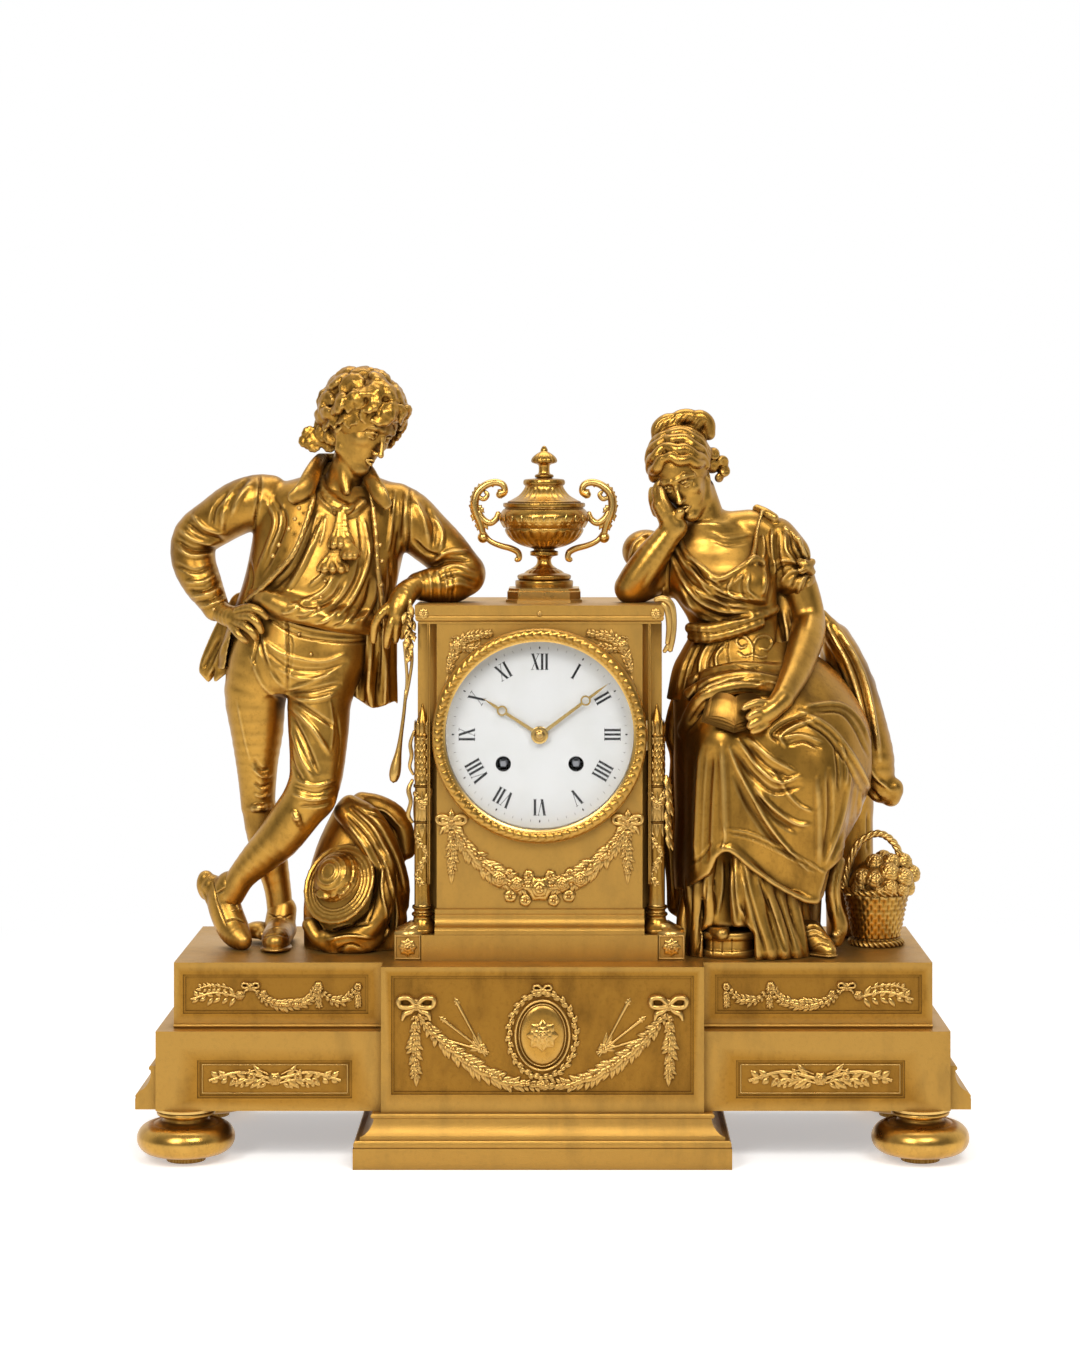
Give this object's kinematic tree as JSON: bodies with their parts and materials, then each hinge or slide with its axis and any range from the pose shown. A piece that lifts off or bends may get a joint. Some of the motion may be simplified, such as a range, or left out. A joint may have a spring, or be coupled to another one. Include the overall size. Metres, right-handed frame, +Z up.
{
  "type": "figural mantel clock",
  "caption": "Gilt bronze mantel clock: dial case with urn between a standing youth and a seated maiden, on a stepped base with bun feet.",
  "frame": {"origin": "middle of the bounding box, on the surface that the feet and the plinth stand on", "axes": "+X to the viewer's right along the base, +Y to the back, +Z up; the dial faces -Y"},
  "size_m": [0.503, 0.18, 0.4808],
  "materials": {
    "matte_gilding": "matte mercury gilding on bronze, worn brown at edges and in stains",
    "burnished_gilding": "burnished gilding on bronze",
    "relief_gilding": "chased gilt bronze with darker hollows",
    "figure_bronze": "gilt cast bronze, satin, darker in the folds",
    "enamel": "glossy white vitreous enamel on copper with black numerals",
    "dial_glass": "thin clear flat glass",
    "gilt_hands": "gilt brass",
    "movement_brass": "turned and polished clock brass",
    "steel": "polished and blued steel",
    "bell_metal": "turned bell metal"
  },
  "bodies": {
    "root": {"back_left_foot": "burnished_gilding", "back_plate": "movement_brass", "back_right_foot": "burnished_gilding", "back_ring": "movement_brass", "base_plinth": "matte_gilding", "bell": "bell_metal", "book": "figure_bronze", "case_body": "matte_gilding", "case_plinth": "matte_gilding", "case_top_slab": "matte_gilding", "centre_block": "matte_gilding", "centre_relief": "relief_gilding", "dial": "enamel", "dial_surround": "movement_brass", "dial_swag": "relief_gilding", "fixing_nuts": "steel", "flower_basket": "figure_bronze", "front_left_foot": "burnished_gilding", "front_plate": "movement_brass", "front_right_foot": "burnished_gilding", "hat_bundle": "figure_bronze", "hinge_pins": "steel", "left_end_moulding": "matte_gilding", "left_lower_relief": "relief_gilding", "left_lower_tier": "matte_gilding", "left_torch": "burnished_gilding", "left_upper_relief": "relief_gilding", "left_upper_tier": "matte_gilding", "maiden_figure": "figure_bronze", "right_end_moulding": "matte_gilding", "right_lower_relief": "relief_gilding", "right_lower_tier": "matte_gilding", "right_torch": "burnished_gilding", "right_upper_relief": "relief_gilding", "right_upper_tier": "matte_gilding", "spandrel_sprays": "relief_gilding", "strap_screws": "steel", "urn_bowl": "burnished_gilding", "urn_foot": "burnished_gilding", "urn_handles": "burnished_gilding", "urn_lid": "burnished_gilding", "walking_stick": "figure_bronze", "youth_figure": "figure_bronze"},
    "minute_group": {"centre_arbor": "steel", "minute_hand": "gilt_hands"},
    "hour_group": {"hour_wheel": "movement_brass", "hour_hand": "gilt_hands"},
    "minute_wheel": {"minute_wheel": "movement_brass"},
    "intermediate_wheel": {"intermediate_wheel": "movement_brass"},
    "going_barrel": {"going_barrel": "movement_brass"},
    "strike_barrel": {"strike_barrel": "movement_brass"},
    "going_arbor": {"going_arbor": "steel"},
    "strike_arbor": {"strike_arbor": "steel"},
    "escape_wheel": {"escape_wheel": "movement_brass"},
    "pendulum": {"pendulum": "movement_brass"},
    "anchor": {"anchor": "steel"},
    "hammer": {"hammer": "steel"},
    "bezel": {"bezel_ring": "burnished_gilding", "bezel_glass": "dial_glass"},
    "back_door": {"back_door": "movement_brass"}
  },
  "joints": [
    {"name": "minute_hand_turn", "type": "hinge", "parent": "root", "child": "minute_group", "pos_m": [-0.0083, 0, 0.2556], "axis": [0, 1, 0], "continuous": true},
    {"name": "hour_hand_turn", "type": "hinge", "parent": "root", "child": "hour_group", "pos_m": [-0.0083, 0, 0.2556], "axis": [0, 1, 0], "continuous": true},
    {"name": "minute_wheel_turn", "type": "hinge", "parent": "root", "child": "minute_wheel", "pos_m": [-0.0083, 0, 0.2696], "axis": [0, 1, 0], "continuous": true},
    {"name": "intermediate_wheel_turn", "type": "hinge", "parent": "root", "child": "intermediate_wheel", "pos_m": [-0.0235, 0, 0.25562], "axis": [0, 1, 0], "continuous": true},
    {"name": "going_barrel_turn", "type": "hinge", "parent": "root", "child": "going_barrel", "pos_m": [-0.0305, 0, 0.2377], "axis": [0, 1, 0], "continuous": true},
    {"name": "strike_barrel_turn", "type": "hinge", "parent": "root", "child": "strike_barrel", "pos_m": [0.0139, 0, 0.2377], "axis": [0, 1, 0], "continuous": true},
    {"name": "going_winding", "type": "hinge", "parent": "root", "child": "going_arbor", "pos_m": [-0.0305, 0, 0.2377], "axis": [0, 1, 0], "continuous": true},
    {"name": "strike_winding", "type": "hinge", "parent": "root", "child": "strike_arbor", "pos_m": [0.0139, 0, 0.2377], "axis": [0, 1, 0], "continuous": true},
    {"name": "escape_wheel_turn", "type": "hinge", "parent": "root", "child": "escape_wheel", "pos_m": [-0.0083, 0, 0.2786], "axis": [0, 1, 0], "continuous": true},
    {"name": "pendulum_swing", "type": "hinge", "parent": "root", "child": "pendulum", "pos_m": [-0.0083, 0, 0.2916], "axis": [0, 1, 0], "range_deg": [-3, 3]},
    {"name": "anchor_rock", "type": "hinge", "parent": "root", "child": "anchor", "pos_m": [-0.0083, 0, 0.2916], "axis": [0, 1, 0], "range_deg": [-3, 3]},
    {"name": "hammer_lift", "type": "hinge", "parent": "root", "child": "hammer", "pos_m": [0.03023, 0, 0.26962], "axis": [0, 1, 0], "range_deg": [0, 10]},
    {"name": "bezel_hinge", "type": "hinge", "parent": "root", "child": "bezel", "pos_m": [0.0561, -0.0525, 0.2556], "axis": [0, 0, 1], "range_deg": [0, 95]},
    {"name": "back_door_hinge", "type": "hinge", "parent": "root", "child": "back_door", "pos_m": [-0.0699, 0.0611, 0.2556], "axis": [0, 0, 1], "range_deg": [0, 100]}
  ],
  "couplings": [
    {"joint": "hour_hand_turn", "follows": "minute_hand_turn", "ratio": 0.083333},
    {"joint": "minute_wheel_turn", "follows": "minute_hand_turn", "ratio": -0.33333},
    {"joint": "intermediate_wheel_turn", "follows": "minute_hand_turn", "ratio": -0.14286},
    {"joint": "going_barrel_turn", "follows": "minute_hand_turn", "ratio": 0.017857},
    {"joint": "anchor_rock", "follows": "pendulum_swing", "ratio": 1}
  ]
}
